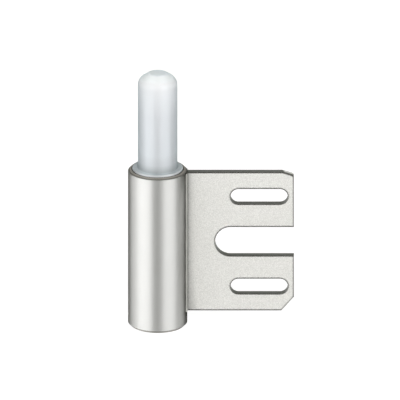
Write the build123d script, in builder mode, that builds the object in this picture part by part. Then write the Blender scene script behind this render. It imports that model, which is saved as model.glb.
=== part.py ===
"""Frame half of an adjustable lift-off door hinge, in millimetres.

A round steel barrel carries a slotted steel plate, which a clamp in the door frame grips and lets
slide sideways. A steel pin is pressed into the barrel, and a plastic bearing sleeve with a collar
turns on it. The door's half of the hinge drops over the sleeve and runs on the collar.

The hinge axis is Z, with the barrel's foot on Z = 0. The plate points along +X, and -Y is its front.
"""

import os
from math import asin, cos, degrees, radians, sin, sqrt

from build123d import *

# Barrel
barrel_diameter = 15.0
barrel_length = 42.0
barrel_top_chamfer = 0.55
barrel_foot_chamfer = 0.7
bore_mouth_chamfer = 0.3

# Pivot pin, pressed into the barrel's through bore, its lower end set back from the barrel's foot
pin_diameter = 8.0
pin_recess = 1.0
pin_foot_chamfer = 0.5
pin_tip_chamfer = 1.5

# Bearing sleeve, a moulded cap over the pin: running fit, closed crown, collar at its foot
running_clearance = 0.03
sleeve_wall = 0.97
sleeve_height = 26.0
sleeve_mouth_chamfer = 0.3
crown_wall = 1.2
crown_gap = 0.2
crown_cone_width = 2.72
crown_cone_height = 1.8
crown_edge_radius = 1.4
crown_shoulder_radius = 2.6
collar_width = 1.4
collar_thickness = 0.5
collar_edge_radius = 0.25
collar_root_radius = 0.4

# Plate, punched from sheet and butted against the barrel, its top a little below the barrel's
plate_projection = 27.0
plate_drop = 0.7
plate_height = 37.4
plate_thickness = 2.2
plate_edge_chamfer = 0.15
upper_corner_width = 2.9
upper_corner_height = 0.9
upper_corner_radius = 0.8
lower_corner_width = 3.2
lower_corner_height = 3.7

# Two closed slots for the clamping screws and one slot that is open at the plate's free edge
clamp_slot_length = 14.5
clamp_slot_width = 4.1
clamp_slot_spacing = 24.3
clamp_slot_margin = 1.55
open_slot_depth = 19.95
open_slot_width = 7.8

# Weld beads in the two corners between plate and barrel
bead_leg_on_barrel = 1.3
bead_leg_on_plate = 0.15
bead_root_depth = 0.3
bead_crown = 0.12
bead_runout_angle = 45.0

# Places that several pieces share
barrel_radius = barrel_diameter / 2
pin_radius = pin_diameter / 2
sleeve_bore_radius = pin_radius + running_clearance
sleeve_radius = sleeve_bore_radius + sleeve_wall
sleeve_tip = barrel_length + sleeve_height
crown_underside = sleeve_tip - crown_wall
pin_top = crown_underside - crown_gap
plate_top = barrel_length - plate_drop
plate_foot = plate_top - plate_height
plate_middle = (plate_top + plate_foot) / 2
plate_free_edge = barrel_radius + plate_projection
plate_half_thickness = plate_thickness / 2

os.makedirs("parts", exist_ok=True)

# Barrel: a turned tube, bored right through for the pin
with BuildPart() as barrel:
    with BuildSketch():
        Circle(barrel_radius)
        Circle(pin_radius, mode=Mode.SUBTRACT)
    extrude(amount=barrel_length)
    chamfer(barrel.faces().sort_by(Axis.Z)[-1].outer_wire().edges(), barrel_top_chamfer)
    chamfer(barrel.faces().sort_by(Axis.Z)[0].outer_wire().edges(), barrel_foot_chamfer)
    chamfer(barrel.faces().sort_by(Axis.Z)[0].inner_wires().edges(), bore_mouth_chamfer)
barrel.part.label = "barrel"
export_step(barrel.part, "parts/barrel.step")

# Pivot pin: a plain round pin, bevelled at the tip to follow the sleeve's crown
with BuildPart() as pivot_pin:
    with BuildSketch(Plane.XY.offset(pin_recess)):
        Circle(pin_radius)
    extrude(amount=pin_top - pin_recess)
    chamfer(pivot_pin.edges().sort_by(Axis.Z)[-1], pin_tip_chamfer)
    chamfer(pivot_pin.edges().sort_by(Axis.Z)[0], pin_foot_chamfer)
pivot_pin.part.label = "pivot_pin"
export_step(pivot_pin.part, "parts/pivot_pin.step")

# Bearing sleeve: half its section drawn with sharp corners, rounded, then turned about the hinge axis
collar_radius = sleeve_radius + collar_width
collar_top = barrel_length + collar_thickness
crown_edge = (sleeve_radius - crown_cone_width, sleeve_tip)
crown_shoulder = (sleeve_radius, sleeve_tip - crown_cone_height)
collar_root = (sleeve_radius, collar_top)
collar_edge = (collar_radius, collar_top)
rounded_corners = [
    (crown_edge, crown_edge_radius),
    (crown_shoulder, crown_shoulder_radius),
    (collar_root, collar_root_radius),
    (collar_edge, collar_edge_radius),
]
with BuildPart() as bearing_sleeve:
    with BuildSketch(Plane.XZ) as sleeve_section:
        with BuildLine():
            Polyline(
                (0, sleeve_tip),
                crown_edge,
                crown_shoulder,
                collar_root,
                collar_edge,
                (collar_radius, barrel_length),
                (sleeve_bore_radius + sleeve_mouth_chamfer, barrel_length),
                (sleeve_bore_radius, barrel_length + sleeve_mouth_chamfer),
                (sleeve_bore_radius, crown_underside - pin_tip_chamfer),
                (sleeve_bore_radius - pin_tip_chamfer, crown_underside),
                (0, crown_underside),
                close=True,
            )
        make_face()
        for corner, radius in rounded_corners:
            fillet(sleeve_section.vertices().sort_by_distance(corner)[0], radius)
    revolve(axis=Axis.Z)
bearing_sleeve.part.label = "bearing_sleeve"
export_step(bearing_sleeve.part, "parts/bearing_sleeve.step")

# Weld beads: a low convex bead on the barrel and the plate's face, cut off aslant at the plate's foot
plate_face_angle = asin(plate_half_thickness / barrel_radius)
bead_toe_angle = plate_face_angle + bead_leg_on_barrel / barrel_radius
bead_width_angle = (bead_leg_on_barrel + bead_root_depth) / barrel_radius
plate_face_start = sqrt(barrel_radius**2 - plate_half_thickness**2)
toe_on_plate = (plate_face_start + bead_leg_on_plate, -plate_half_thickness)
runout = radians(bead_runout_angle)
runout_plane = Plane((0, -plate_half_thickness, plate_foot), z_dir=(0, sin(runout), cos(runout)))
with BuildPart() as weld_bead_front:
    with BuildSketch(Plane.XY.offset(plate_foot)):
        with BuildLine():
            seat = CenterArc((0, 0), barrel_radius, -degrees(bead_toe_angle), degrees(bead_width_angle))
            Line(seat @ 1, toe_on_plate)
            SagittaArc(toe_on_plate, seat @ 0, bead_crown)
        make_face()
    extrude(amount=plate_height)
    split(bisect_by=runout_plane)
weld_bead_front.part.label = "weld_bead_front"
export_step(weld_bead_front.part, "parts/weld_bead_front.step")

with BuildPart() as weld_bead_rear:
    mirror(weld_bead_front.part, about=Plane.XZ)
weld_bead_rear.part.label = "weld_bead_rear"
export_step(weld_bead_rear.part, "parts/weld_bead_rear.step")

# Plate: the punched blank with its edges broken, then fitted to the barrel and grooved for the beads
upper_corner = (plate_free_edge, plate_top - upper_corner_height)
clamp_slot_centre = plate_free_edge - clamp_slot_margin - clamp_slot_length / 2
open_slot_length = open_slot_depth + open_slot_width
open_slot_centre = plate_free_edge - open_slot_depth + open_slot_length / 2
with BuildPart() as hinge_plate:
    with BuildSketch(Plane.XZ) as blank:
        with BuildLine():
            Polyline(
                (0, plate_foot),
                (plate_free_edge - lower_corner_width, plate_foot),
                (plate_free_edge, plate_foot + lower_corner_height),
                upper_corner,
                (plate_free_edge - upper_corner_width, plate_top),
                (0, plate_top),
                close=True,
            )
        make_face()
        fillet(blank.vertices().sort_by_distance(upper_corner)[0], upper_corner_radius)
        with Locations((clamp_slot_centre, plate_middle)):
            with GridLocations(0, clamp_slot_spacing, 1, 2):
                SlotOverall(clamp_slot_length, clamp_slot_width, mode=Mode.SUBTRACT)
        with Locations((open_slot_centre, plate_middle)):
            SlotOverall(open_slot_length, open_slot_width, mode=Mode.SUBTRACT)
    extrude(amount=plate_half_thickness, both=True)
    wide_faces = hinge_plate.faces().filter_by(Axis.Y)
    rims = wide_faces.edges().filter_by(lambda edge: edge.center().X > barrel_radius)
    chamfer(rims, plate_edge_chamfer)
    with BuildSketch(Plane.XY.offset(plate_foot)):
        Circle(barrel_radius)
    extrude(amount=plate_height, mode=Mode.SUBTRACT)
    add(weld_bead_front.part, mode=Mode.SUBTRACT)
    add(weld_bead_rear.part, mode=Mode.SUBTRACT)
hinge_plate.part.label = "hinge_plate"
export_step(hinge_plate.part, "parts/hinge_plate.step")
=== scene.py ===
"""Looks of the frame half of an adjustable door hinge: its finishes, the weld, the studio and the camera.

Lengths are in metres, in the part's own frame: +Z along the hinge axis, the plate along +X, its front at -Y.
"""

from math import asin, cos, hypot, pi, radians, sin, tan

import bpy
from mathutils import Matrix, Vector


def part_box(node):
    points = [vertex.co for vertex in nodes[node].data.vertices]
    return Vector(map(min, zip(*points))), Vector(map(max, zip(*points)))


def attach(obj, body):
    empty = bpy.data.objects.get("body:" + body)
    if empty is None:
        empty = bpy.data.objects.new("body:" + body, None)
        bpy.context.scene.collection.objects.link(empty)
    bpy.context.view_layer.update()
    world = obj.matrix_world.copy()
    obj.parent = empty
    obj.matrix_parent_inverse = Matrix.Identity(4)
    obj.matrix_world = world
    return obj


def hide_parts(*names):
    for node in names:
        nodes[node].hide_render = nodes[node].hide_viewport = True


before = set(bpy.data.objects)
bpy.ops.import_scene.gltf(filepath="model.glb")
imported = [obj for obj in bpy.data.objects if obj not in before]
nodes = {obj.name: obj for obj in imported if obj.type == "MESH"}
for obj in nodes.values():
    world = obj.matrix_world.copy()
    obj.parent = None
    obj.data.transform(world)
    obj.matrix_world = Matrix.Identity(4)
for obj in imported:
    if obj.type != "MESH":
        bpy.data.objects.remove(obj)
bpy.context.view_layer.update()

# Boxes of the pieces that the finishes and the weld are fitted to
barrel_low, barrel_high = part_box("barrel")
sleeve_low, sleeve_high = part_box("bearing_sleeve")
bead_low, bead_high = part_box("weld_bead_front")
plate_low, plate_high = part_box("hinge_plate")
barrel_radius = barrel_high.x
collar_radius = sleeve_high.x
plate_face = plate_high.y

# Camera: the photograph's viewing angle, scale, and the pixel where the part's origin falls
image_size = 400
pixels_per_metre = 3950.0
origin_pixel = Vector((157.15, 322.9))
camera_elevation = radians(21.0)
camera_distance = 0.4

# Studio: tall soft boxes given by azimuth (0 is the camera's side, + is to its right), spread and radiance
box_distance = 0.55
box_height = 0.90
soft_boxes = {
    "left_box": {"azimuth": radians(-54.5), "spread": radians(63.0), "radiance": 2.9},
    "far_left_box": {"azimuth": radians(-104.0), "spread": radians(34.0), "radiance": 1.2},
    "right_box": {"azimuth": radians(47.0), "spread": radians(57.0), "radiance": 2.3},
}

# Studio: wide soft lights all round, which fill matt surfaces
fill_distance = 0.60
fill_size = 0.50
fills = {
    "front_fill": {"azimuth": 0.0, "elevation": radians(40.0), "radiance": 3.7},
    "left_fill": {"azimuth": radians(-75.0), "elevation": radians(8.0), "radiance": 1.4},
    "right_fill": {"azimuth": radians(75.0), "elevation": radians(8.0), "radiance": 1.65},
    "rear_fill": {"azimuth": pi, "elevation": radians(18.0), "radiance": 2.4},
}

# Studio: sky, white ground and floor
sky_colour = (0.165, 0.168, 0.135, 1.0)
ground_colour = (1.0, 1.0, 1.0, 1.0)
floor_radius = 0.40
floor_sides = 96
floor_colour = (0.25, 0.25, 0.25, 1.0)
floor_glow = 0.90

# Round pieces: stretches that leave only the height, or only the distance from the hinge axis, and the
# strength and direction in which fine marks round a piece draw out its reflections
height_only = (0.0, 0.0, 1.0)
level_only = (1.0, 1.0, 0.0)
mark_strength = 1.0
mark_direction = 0.25

# Barrel: faintly clouded satin nickel over turning marks, with no paler sheen at glancing angles
barrel_tones = ((0.74, 0.74, 0.73, 1.0), (0.78, 0.78, 0.77, 1.0))
barrel_cloud_scale = 150.0
barrel_roughness = (0.64, 0.72)
barrel_sheen = (0.0, 0.0, 0.0, 1.0)
turning_scale = 9000.0

# Barrel: the strip beside the weld, dulled by heat and darkened with painted shade in the crease there, and
# how much of it is left below the weld's foot
barrel_heat_shade_tone = (0.17, 0.17, 0.16, 1.0)
barrel_heat_shade_width = 0.0017
barrel_heat_shade_power = 2.0
barrel_heat_shade_below = 0.6

# Barrel: a darker tone on its foot chamfer, and its bare top with tones from the collar (0) to the wall (1),
# with painted shade in the gap by the collar and a painted dark line at its outer edge
foot_chamfer = 0.00072
foot_tone = (0.36, 0.35, 0.33, 1.0)
top_chamfer = 0.00043
top_metal = 0.2
top_tones_and_painted_shade = [
    # painted shade in the gap by the collar
    (0.0, (0.06, 0.057, 0.052, 1.0)),
    (0.16, (0.06, 0.057, 0.052, 1.0)),
    # the brownish bare ring
    (0.30, (0.31, 0.295, 0.27, 1.0)),
    (0.56, (0.31, 0.295, 0.27, 1.0)),
    # a painted dark line along the outer edge
    (0.74, (0.16, 0.155, 0.145, 1.0)),
]

# Plate: fine-grained pale nickel
plate_tones = ((0.575, 0.57, 0.55, 1.0), (0.785, 0.78, 0.76, 1.0))
plate_grain_scale = 5200.0
plate_grain_range = (0.33, 0.67)
plate_grain_depth = 0.000004
plate_roughness = (0.64, 0.76)

# Plate: the mottled strip beside the weld, dulled by heat and darkened with painted shade in the corner by
# the barrel, narrower with height above the weld's foot
plate_heat_shade_tone = (0.20, 0.20, 0.19, 1.0)
plate_heat_shade_width = 0.0026
plate_heat_shade_overlap = 0.0001
plate_heat_shade_height = 0.014
plate_heat_shade_powers = (0.9, 2.6)
mottle_scale = 2200.0
mottle_range = (0.25, 0.85)

# Plate: painted shade on the rim of every cut edge, with tones for level and for upright edges. A rim is
# where the rounded edge's normal turns away from the plate's faces, and the painted shade reaches further
# where it looks down.
rim_radius = 0.00060
rim_samples = 8
rim_shade_underside = 0.17
rim_range = (0.972, 0.994)
rim_shade_tones = ((0.045, 0.045, 0.042, 1.0), (0.24, 0.24, 0.23, 1.0))

# Plate: the sheared faces between its rims, streaked through the thickness
shear_range = (0.20, 0.45)
shear_tones = ((0.24, 0.245, 0.23, 1.0), (0.40, 0.405, 0.39, 1.0))
shear_scale = 5000.0
shear_stretch = (1.0, 0.06, 1.0)

# Plate: a painted highlight on the cut face at its upper corner, behind a dark line along the front
corner_highlight_tone = (0.74, 0.74, 0.72, 1.0)
corner_highlight_metal = 0.2
corner_highlight_width = 0.0025
corner_highlight_height = 0.0010
corner_highlight_slant = 0.45
corner_highlight_blur = 0.0003
corner_highlight_line = 0.0009

# Plate: lighter painted shade on the rim along its lower cut corner
lower_corner_shade_tone = (0.34, 0.34, 0.325, 1.0)
lower_corner_width = 0.0032
lower_corner_height = 0.0037

# Weld: pitch and depth of its ripples, (depth, length) of the sways of its toe, its rise above the corner and
# its root below it, and how finely it is divided
ripple_pitch = 0.0011
ripple_depth = 0.00006
toe_sways = [(0.00004, 0.0016), (0.00003, 0.00067)]
bead_rise = 0.00014
bead_root = 0.00028
bead_step = 0.00010
bead_points = 9

# Weld: dull steel with a coarse grain
weld_tones = ((0.35, 0.35, 0.33, 1.0), (0.58, 0.58, 0.55, 1.0))
weld_grain_scale = 2500.0
weld_grain_detail = 4.0
weld_grain_depth = 0.00002
weld_roughness = (0.40, 0.60)

# Pin: ground bare steel
pin_tones = ((0.50, 0.50, 0.50, 1.0), (0.58, 0.58, 0.58, 1.0))
pin_roughness = (0.28, 0.36)
grinding_scale = 12000.0

# Sleeve: faintly clouded tones from its collar (0) to its tip (1), with painted light and shade along its
# height
sleeve_cloud_scale = 150.0
sleeve_cloud_depth = 0.05
sleeve_tones_and_painted_light = [
    # a painted highlight on the collar's rim, then painted shade in the crease at the wall's root
    (0.0165, (0.70, 0.69, 0.71, 1.0)),
    (0.0192, (0.60, 0.60, 0.618, 1.0)),
    (0.023, (0.42, 0.432, 0.447, 1.0)),
    (0.034, (0.455, 0.465, 0.48, 1.0)),
    # painted shade: the wall darker towards the collar
    (0.065, (0.585, 0.59, 0.61, 1.0)),
    (0.10, (0.698, 0.697, 0.722, 1.0)),
    (0.20, (0.782, 0.785, 0.815, 1.0)),
    (0.58, (0.802, 0.797, 0.827, 1.0)),
    # painted light on the shoulder and crown, with a painted dip below the shoulder
    (0.80, (0.886, 0.874, 0.90, 1.0)),
    (0.89, (0.912, 0.888, 0.908, 1.0)),
    (0.927, (0.885, 0.856, 0.87, 1.0)),
    (0.955, (1.0, 0.985, 1.0, 1.0)),
    (0.985, (1.0, 0.985, 1.0, 1.0)),
    (1.0, (0.95, 0.945, 0.985, 1.0)),
]

# Sleeve: how far the pin shines through its wall, between two heights, and its fine skin
pin_shine = (0.20, 0.04)
pin_shine_heights = (0.58, 0.82)
skin_scale = 6000.0
skin_depth = 0.000002
sleeve_roughness = (0.52, 0.60)

# Sleeve: moulded plastic under a thin, bluish outer layer, with light scattered just below it
sleeve_plastic = {
    "IOR": 1.48,
    "Specular IOR Level": 0.7,
    "Specular Tint": (0.61, 0.75, 0.79, 1.0),
    "Coat Weight": 1.0,
    "Coat Roughness": 0.6,
    "Coat IOR": 1.04,
    "Coat Tint": (0.93, 0.96, 0.97, 1.0),
    "Subsurface Weight": 0.25,
    "Subsurface Radius": (1.0, 1.0, 1.0),
    "Subsurface Scale": 0.0008,
}

# Sockets of the colour mixing node
MIX_FACTOR = 0
MIX_A = 6
MIX_B = 7
MIX_RESULT = 2


def set_inputs(tree, node, inputs):
    """Sets each of a node's inputs to a value, or links it to another node's output."""
    for key, value in inputs.items():
        if isinstance(value, bpy.types.NodeSocket):
            tree.links.new(value, node.inputs[key])
        else:
            node.inputs[key].default_value = value


def add_node(tree, kind, inputs=None, **settings):
    """A shader node with these inputs and settings."""
    node = tree.nodes.new(kind)
    for name, value in settings.items():
        setattr(node, name, value)
    set_inputs(tree, node, inputs or {})
    return node


def new_material(name):
    """An empty principled material and its node tree."""
    material = bpy.data.materials.new(name)
    material.use_nodes = True
    return material, material.node_tree


def shade(tree, inputs):
    """Sets or links inputs of the tree's principled shader."""
    set_inputs(tree, tree.nodes["Principled BSDF"], inputs)


def place(tree, stretch=(1.0, 1.0, 1.0)):
    """A place on the part in its own frame, with each axis stretched."""
    coordinates = add_node(tree, "ShaderNodeTexCoord")
    mapping = add_node(tree, "ShaderNodeMapping", {"Vector": coordinates.outputs["Object"], "Scale": stretch})
    return mapping.outputs["Vector"]


def along(tree, axis):
    """The place along one axis of the part's frame."""
    return add_node(tree, "ShaderNodeSeparateXYZ", {"Vector": place(tree)}).outputs[axis]


def from_axis(tree):
    """The distance from the hinge axis."""
    level = place(tree, level_only)
    return add_node(tree, "ShaderNodeVectorMath", {0: level}, operation="LENGTH").outputs["Value"]


def calculate(tree, operation, first, second=0.0):
    """The result of an operation on one or two values."""
    return add_node(tree, "ShaderNodeMath", {0: first, 1: second}, operation=operation).outputs["Value"]


def noise(tree, position, scale, detail=2.0):
    """Noise between 0 and 1 with features about 1 / scale wide."""
    node = add_node(tree, "ShaderNodeTexNoise", {"Vector": position, "Scale": scale, "Detail": detail})
    return node.outputs["Fac"]


def fit(tree, value, low, high, from_low=0.0, from_high=1.0):
    """A value carried from one range to another."""
    inputs = {"Value": value, "From Min": from_low, "From Max": from_high, "To Min": low, "To Max": high}
    return add_node(tree, "ShaderNodeMapRange", inputs).outputs["Result"]


def mix(tree, factor, first, second):
    """A colour between two colours."""
    inputs = {MIX_FACTOR: factor, MIX_A: first, MIX_B: second}
    return add_node(tree, "ShaderNodeMix", inputs, data_type="RGBA").outputs[MIX_RESULT]


def ramp(tree, value, stops):
    """A colour along a row of (place, colour) stops."""
    node = add_node(tree, "ShaderNodeValToRGB", {"Fac": value})
    elements = node.color_ramp.elements
    while len(elements) < len(stops):
        elements.new(1.0)
    for element, (position, colour) in zip(elements, stops):
        element.position = position
        element.color = colour
    return node.outputs["Color"]


def bump(tree, height, distance):
    """A normal for relief of this depth."""
    node = add_node(tree, "ShaderNodeBump", {"Height": height, "Strength": 1.0, "Distance": distance})
    return node.outputs["Normal"]


def round_marks(tree):
    """Shader inputs for fine marks round a piece, which draw its reflections out along the hinge axis."""
    tangent = add_node(tree, "ShaderNodeTangent", direction_type="RADIAL", axis="Z").outputs["Tangent"]
    return {"Anisotropic": mark_strength, "Anisotropic Rotation": mark_direction, "Tangent": tangent}


def barrel_heat_and_shade(tree):
    """How far heat and painted shade in the crease darken the barrel's wall beside the weld."""
    beside = fit(tree, along(tree, "X"), 0.0, 1.0, bead_low.x - barrel_heat_shade_width, bead_low.x)
    beneath = fit(tree, along(tree, "Z"), barrel_heat_shade_below, 1.0, bead_low.z - barrel_heat_shade_width, bead_low.z)
    return calculate(tree, "MULTIPLY", calculate(tree, "POWER", beside, barrel_heat_shade_power), beneath)


def turned_nickel():
    """The barrel: satin nickel over turning marks, darker on its foot chamfer, bare at its top with painted
    shade by the collar and along its outer edge, and dulled by heat and painted shade at the weld.
    """
    material, tree = new_material("turned_nickel")
    marks = noise(tree, place(tree, height_only), turning_scale)
    nickel = mix(tree, noise(tree, place(tree), barrel_cloud_scale), *barrel_tones)
    # heat tint and painted shade in the crease beside the weld
    dulled_and_shaded = mix(tree, barrel_heat_and_shade(tree), nickel, barrel_heat_shade_tone)
    below = calculate(tree, "LESS_THAN", along(tree, "Z"), barrel_low.z + foot_chamfer)
    footed = mix(tree, below, dulled_and_shaded, foot_tone)
    above = calculate(tree, "GREATER_THAN", along(tree, "Z"), barrel_high.z - top_chamfer)
    outwards = fit(tree, from_axis(tree), 0.0, 1.0, collar_radius, barrel_radius)
    shade(tree, {
        "Base Color": mix(tree, above, footed, ramp(tree, outwards, top_tones_and_painted_shade)),
        "Metallic": fit(tree, above, 1.0, top_metal),
        "Roughness": fit(tree, marks, *barrel_roughness),
        "Specular Tint": barrel_sheen,
        **round_marks(tree),
    })
    return material


def plate_heat_and_shade(tree):
    """How far heat and painted shade in the corner by the barrel darken the plate's faces beside the weld."""
    start = bead_high.x - plate_heat_shade_overlap
    beside = fit(tree, along(tree, "X"), 1.0, 0.0, start, bead_high.x + plate_heat_shade_width)
    power = fit(tree, along(tree, "Z"), *plate_heat_shade_powers, bead_low.z, bead_low.z + plate_heat_shade_height)
    mottle = fit(tree, noise(tree, place(tree), mottle_scale), *mottle_range)
    return calculate(tree, "MULTIPLY", calculate(tree, "POWER", beside, power), mottle)


def upper_corner_highlight(tree):
    """Where the painted highlight on the plate's upper corner lies: past a slanted line, near the top and
    behind the front.
    """
    aslant = calculate(tree, "MULTIPLY", along(tree, "Y"), corner_highlight_slant)
    outwards = calculate(tree, "ADD", along(tree, "X"), aslant)
    start = plate_high.x - corner_highlight_width
    beyond = fit(tree, outwards, 0.0, 1.0, start, start + corner_highlight_blur)
    above = calculate(tree, "GREATER_THAN", along(tree, "Z"), plate_high.z - corner_highlight_height)
    line = corner_highlight_line - plate_face
    behind = fit(tree, along(tree, "Y"), 0.0, 1.0, line, line + corner_highlight_blur)
    return calculate(tree, "MULTIPLY", calculate(tree, "MULTIPLY", beyond, above), behind)


def rim_shade_tone(tree, facing):
    """The painted shade on a cut edge's rim, by how far the edge faces sideways, paler at the lower cut
    corner.
    """
    sideways = calculate(tree, "ABSOLUTE", facing["X"])
    upwards = calculate(tree, "ABSOLUTE", facing["Z"])
    share = calculate(tree, "DIVIDE", sideways, calculate(tree, "ADD", sideways, upwards))
    outer = calculate(tree, "GREATER_THAN", along(tree, "X"), plate_high.x - lower_corner_width)
    lower = calculate(tree, "LESS_THAN", along(tree, "Z"), plate_low.z + lower_corner_height)
    corner = calculate(tree, "MULTIPLY", outer, lower)
    return mix(tree, corner, mix(tree, share, *rim_shade_tones), lower_corner_shade_tone)


def satin_sheet():
    """The plate: fine-grained pale nickel, with painted shade on every cut edge's rim and a painted highlight
    at its upper corner, dulled by heat and painted shade beside the weld.
    """
    material, tree = new_material("satin_sheet")
    rounded = add_node(tree, "ShaderNodeBevel", {"Radius": rim_radius}, samples=rim_samples).outputs["Normal"]
    facing = add_node(tree, "ShaderNodeSeparateXYZ", {"Vector": rounded}).outputs
    squarely = calculate(tree, "ABSOLUTE", facing["Y"])
    lifted = calculate(tree, "ADD", squarely, calculate(tree, "MULTIPLY", facing["Z"], rim_shade_underside))
    # painted shade on the rims of the cut edges, deeper where they face down
    rim_shade = fit(tree, lifted, 1.0, 0.0, *rim_range)
    sheared = fit(tree, squarely, 1.0, 0.0, *shear_range)
    # painted highlight on the cut face at the upper corner
    corner_highlight = calculate(tree, "MULTIPLY", upper_corner_highlight(tree), sheared)
    grain = fit(tree, noise(tree, place(tree), plate_grain_scale), 0.0, 1.0, *plate_grain_range)
    # heat tint and painted shade beside the weld
    face = mix(tree, plate_heat_and_shade(tree), mix(tree, grain, *plate_tones), plate_heat_shade_tone)
    streaks = mix(tree, noise(tree, place(tree, shear_stretch), shear_scale), *shear_tones)
    edge = mix(tree, sheared, rim_shade_tone(tree, facing), mix(tree, corner_highlight, streaks, corner_highlight_tone))
    shade(tree, {
        "Base Color": mix(tree, rim_shade, face, edge),
        "Metallic": fit(tree, corner_highlight, 1.0, corner_highlight_metal),
        "Roughness": fit(tree, grain, *plate_roughness),
        "Normal": bump(tree, grain, plate_grain_depth),
    })
    return material


def weld_metal():
    """The weld beads: dull steel with a coarse grain."""
    material, tree = new_material("weld_metal")
    grain = noise(tree, place(tree), weld_grain_scale, weld_grain_detail)
    shade(tree, {
        "Base Color": mix(tree, grain, *weld_tones),
        "Metallic": 1.0,
        "Roughness": fit(tree, grain, *weld_roughness),
        "Normal": bump(tree, grain, weld_grain_depth),
    })
    return material


def ground_steel():
    """The pin: ground bare steel."""
    material, tree = new_material("ground_steel")
    marks = noise(tree, place(tree, height_only), grinding_scale)
    shade(tree, {
        "Base Color": mix(tree, marks, *pin_tones),
        "Metallic": 1.0,
        "Roughness": fit(tree, marks, *pin_roughness),
    })
    return material


def milky_plastic():
    """The sleeve: milky, slightly blue plastic, with painted shade darkening its wall towards the collar and
    painted light on its crown.
    """
    material, tree = new_material("milky_plastic")
    level = fit(tree, along(tree, "Z"), 0.0, 1.0, sleeve_low.z, sleeve_high.z)
    clouds = noise(tree, place(tree), sleeve_cloud_scale)
    shift = calculate(tree, "MULTIPLY", fit(tree, clouds, -sleeve_cloud_depth, sleeve_cloud_depth), level)
    skin = noise(tree, place(tree), skin_scale)
    shade(tree, {
        "Base Color": ramp(tree, calculate(tree, "ADD", level, shift), sleeve_tones_and_painted_light),
        "Metallic": fit(tree, level, *pin_shine, *pin_shine_heights),
        "Roughness": fit(tree, skin, *sleeve_roughness),
        "Normal": bump(tree, skin, skin_depth),
        **sleeve_plastic,
        **round_marks(tree),
    })
    return material


def dress(finishes):
    """Gives each of the part's nodes its finish."""
    for name, material in finishes.items():
        mesh = nodes[name].data
        mesh.materials.clear()
        mesh.materials.append(material)


def bead_section(height, side):
    """Points round the weld at one height: its rippled crown from barrel to plate, then its root."""
    sway = sum(depth * sin(height / length) for depth, length in toe_sways)
    toe_angle = asin((sway - bead_low.y) / barrel_radius)
    barrel_toe = Vector((cos(toe_angle), -sin(toe_angle))) * barrel_radius
    plate_toe = Vector((bead_high.x + sway / 2, -plate_face))
    outward = Vector((barrel_toe.y - plate_toe.y, plate_toe.x - barrel_toe.x)).normalized()
    outward = outward if outward.y < 0 else -outward
    ripple = ripple_depth * abs(sin(pi * height / ripple_pitch))
    points = []
    for i in range(bead_points):
        part = i / (bead_points - 1)
        rise = (bead_rise + ripple) * sin(pi * part)
        points.append(barrel_toe.lerp(plate_toe, part) + outward * rise)
    points.append(Vector((hypot(plate_toe.x, plate_face) - bead_root, -plate_face + bead_root)))
    return [(point.x, side * point.y, height) for point in points]


def bead_faces(steps, count):
    """Faces of a closed bead: its two ends, then the walls between its sections of count points each."""
    faces = [tuple(range(count)), tuple(range(steps * count, (steps + 1) * count))[::-1]]
    for i in range(steps):
        for j in range(count):
            k = (j + 1) % count
            faces.append((i * count + j, (i + 1) * count + j, (i + 1) * count + k, i * count + k))
    return faces


def add_bead(node, side, material):
    """A rippled weld bead in the place of a plain one; side 1 is the plate's front, -1 its back."""
    length = bead_high.z - bead_low.z
    steps = round(length / bead_step)
    sections = [bead_section(bead_low.z + length * i / steps, side) for i in range(steps + 1)]
    points = [point for section in sections for point in section]
    mesh = bpy.data.meshes.new(node + "_rippled")
    mesh.from_pydata(points, [], bead_faces(steps, len(sections[0])))
    mesh.validate()
    mesh.shade_smooth()
    mesh.materials.append(material)
    bead = bpy.data.objects.new(node + "_rippled", mesh)
    bpy.context.scene.collection.objects.link(bead)
    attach(bead, "frame_part")
    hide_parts(node)


def add_light(name, width, height, radiance, location, facing):
    """A rectangular soft light that the camera doesn't see, its face turned against the direction given."""
    light = bpy.data.lights.new(name, "AREA")
    light.shape = "RECTANGLE"
    light.size = width
    light.size_y = height
    light.energy = radiance * pi * width * height
    lamp = bpy.data.objects.new(name, light)
    lamp.location = location
    lamp.rotation_euler = facing.to_track_quat("Z", "Y").to_euler()
    lamp.visible_camera = False
    bpy.context.scene.collection.objects.link(lamp)
    return lamp


def add_soft_box(name, azimuth, spread, radiance):
    """A tall soft box that stands on the floor and faces the part, seen only in reflections."""
    width = 2 * box_distance * tan(spread / 2)
    side = Vector((sin(azimuth), -cos(azimuth), 0.0))
    location = side * box_distance + Vector((0.0, 0.0, box_height / 2))
    lamp = add_light(name, width, box_height, radiance, location, side)
    lamp.visible_diffuse = False


def add_fill(name, azimuth, elevation, radiance):
    """A soft light that faces the part, for matt surfaces alone."""
    level = Vector((sin(azimuth), -cos(azimuth), 0.0)) * cos(elevation)
    facing = level + Vector((0.0, 0.0, sin(elevation)))
    lamp = add_light(name, fill_size, fill_size, radiance, facing * fill_distance, facing)
    lamp.visible_glossy = False


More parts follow.
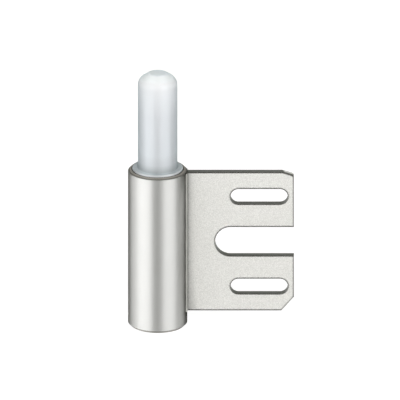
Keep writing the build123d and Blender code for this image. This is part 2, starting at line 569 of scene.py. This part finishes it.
def add_floor():
    """A pale round floor, which shows white to the camera and in reflections and keeps the part's shadow."""
    bpy.ops.mesh.primitive_circle_add(vertices=floor_sides, radius=floor_radius, fill_type="NGON")
    floor = bpy.context.object
    floor.name = "floor"
    material, tree = new_material("floor")
    path = add_node(tree, "ShaderNodeLightPath").outputs
    seen = calculate(tree, "MAXIMUM", path["Is Camera Ray"], path["Is Glossy Ray"])
    seen = calculate(tree, "MAXIMUM", seen, path["Is Transmission Ray"])
    shade(tree, {
        "Base Color": floor_colour,
        "Roughness": 1.0,
        "Specular IOR Level": 0.0,
        "Emission Color": ground_colour,
        "Emission Strength": fit(tree, seen, 0.0, floor_glow),
    })
    floor.data.materials.append(material)


def add_world():
    """A dim plain sky, and a white ground below the horizon that carries the floor on."""
    world = bpy.data.worlds.new("studio")
    world.use_nodes = True
    bpy.context.scene.world = world
    tree = world.node_tree
    direction = add_node(tree, "ShaderNodeTexCoord").outputs["Generated"]
    height = add_node(tree, "ShaderNodeSeparateXYZ", {"Vector": direction}).outputs["Z"]
    colour = mix(tree, calculate(tree, "GREATER_THAN", height), ground_colour, sky_colour)
    set_inputs(tree, tree.nodes["Background"], {"Color": colour})


def add_camera():
    """A camera without perspective, with the part's origin on its pixel of the photograph."""
    data = bpy.data.cameras.new("camera")
    data.type = "ORTHO"
    data.ortho_scale = image_size / pixels_per_metre
    camera = bpy.data.objects.new("camera", data)
    back = Vector((0.0, -cos(camera_elevation), sin(camera_elevation)))
    up = Vector((0.0, sin(camera_elevation), cos(camera_elevation)))
    right = Vector((1.0, 0.0, 0.0))
    middle = (image_size - 1) / 2
    offset = Vector((middle - origin_pixel.x, origin_pixel.y - middle)) / pixels_per_metre
    camera.location = right * offset.x + up * offset.y + back * camera_distance
    camera.rotation_euler = back.to_track_quat("Z", "Y").to_euler()
    bpy.context.scene.collection.objects.link(camera)
    bpy.context.scene.camera = camera


weld = weld_metal()
dress({
    "barrel": turned_nickel(),
    "hinge_plate": satin_sheet(),
    "weld_bead_front": weld,
    "weld_bead_rear": weld,
    "pivot_pin": ground_steel(),
    "bearing_sleeve": milky_plastic(),
})
add_bead("weld_bead_front", 1, weld)
add_bead("weld_bead_rear", -1, weld)
for name, values in soft_boxes.items():
    add_soft_box(name, **values)
for name, values in fills.items():
    add_fill(name, **values)
add_floor()
add_world()
add_camera()
bpy.context.scene.view_settings.view_transform = "Standard"
